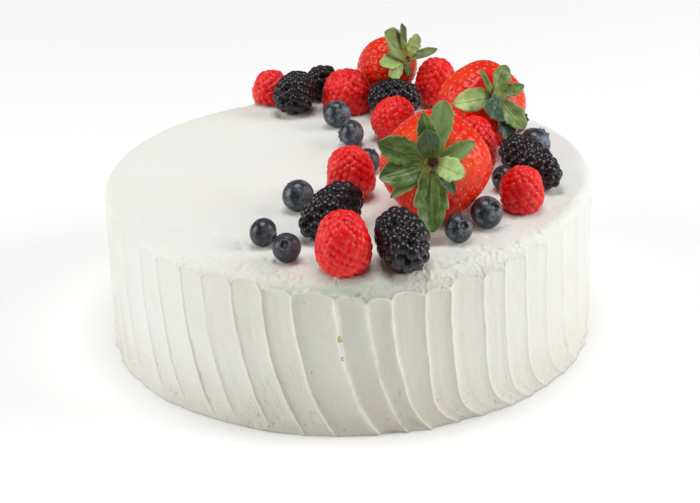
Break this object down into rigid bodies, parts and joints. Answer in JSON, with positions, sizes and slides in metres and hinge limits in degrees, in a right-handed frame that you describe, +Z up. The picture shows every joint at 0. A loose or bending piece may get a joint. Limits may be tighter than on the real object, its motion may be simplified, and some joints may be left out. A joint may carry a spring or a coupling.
{
  "type": "berry chantilly cake",
  "caption": "Round layer cake coated in whipped cream with a combed side, topped by a crescent of strawberries, raspberries, brambles and blueberries.",
  "frame": {"origin": "middle of the flat underside", "axes": "+Z up, the front of the cake is -Y, the berries' crescent opens to the left (-X)"},
  "size_m": [0.2105, 0.2153, 0.124],
  "materials": {
    "cream": "matte whipped cream",
    "strawberry": "glossy skin with small seeds",
    "leaf": "satin, veined",
    "raspberry": "satin drupelets with a fine bloom",
    "bramble": "glossy drupelets",
    "blueberry": "satin skin with a pale bloom"
  },
  "bodies": {
    "root": {"cake": "cream", "strawberry_1": "strawberry", "strawberry_2": "strawberry", "strawberry_3": "strawberry", "calyx_1": "leaf", "calyx_2": "leaf", "calyx_3": "leaf", "raspberry_1": "raspberry", "raspberry_2": "raspberry", "raspberry_3": "raspberry", "raspberry_4": "raspberry", "raspberry_5": "raspberry", "raspberry_6": "raspberry", "raspberry_7": "raspberry", "raspberry_8": "raspberry", "bramble_1": "bramble", "bramble_2": "bramble", "bramble_3": "bramble", "bramble_4": "bramble", "bramble_5": "bramble", "bramble_6": "bramble", "blueberry_1": "blueberry", "blueberry_2": "blueberry", "blueberry_3": "blueberry", "blueberry_4": "blueberry", "blueberry_5": "blueberry", "blueberry_6": "blueberry", "blueberry_7": "blueberry", "blueberry_8": "blueberry", "blueberry_9": "blueberry", "blueberry_10": "blueberry", "blueberry_11": "blueberry"}
  },
  "joints": []
}
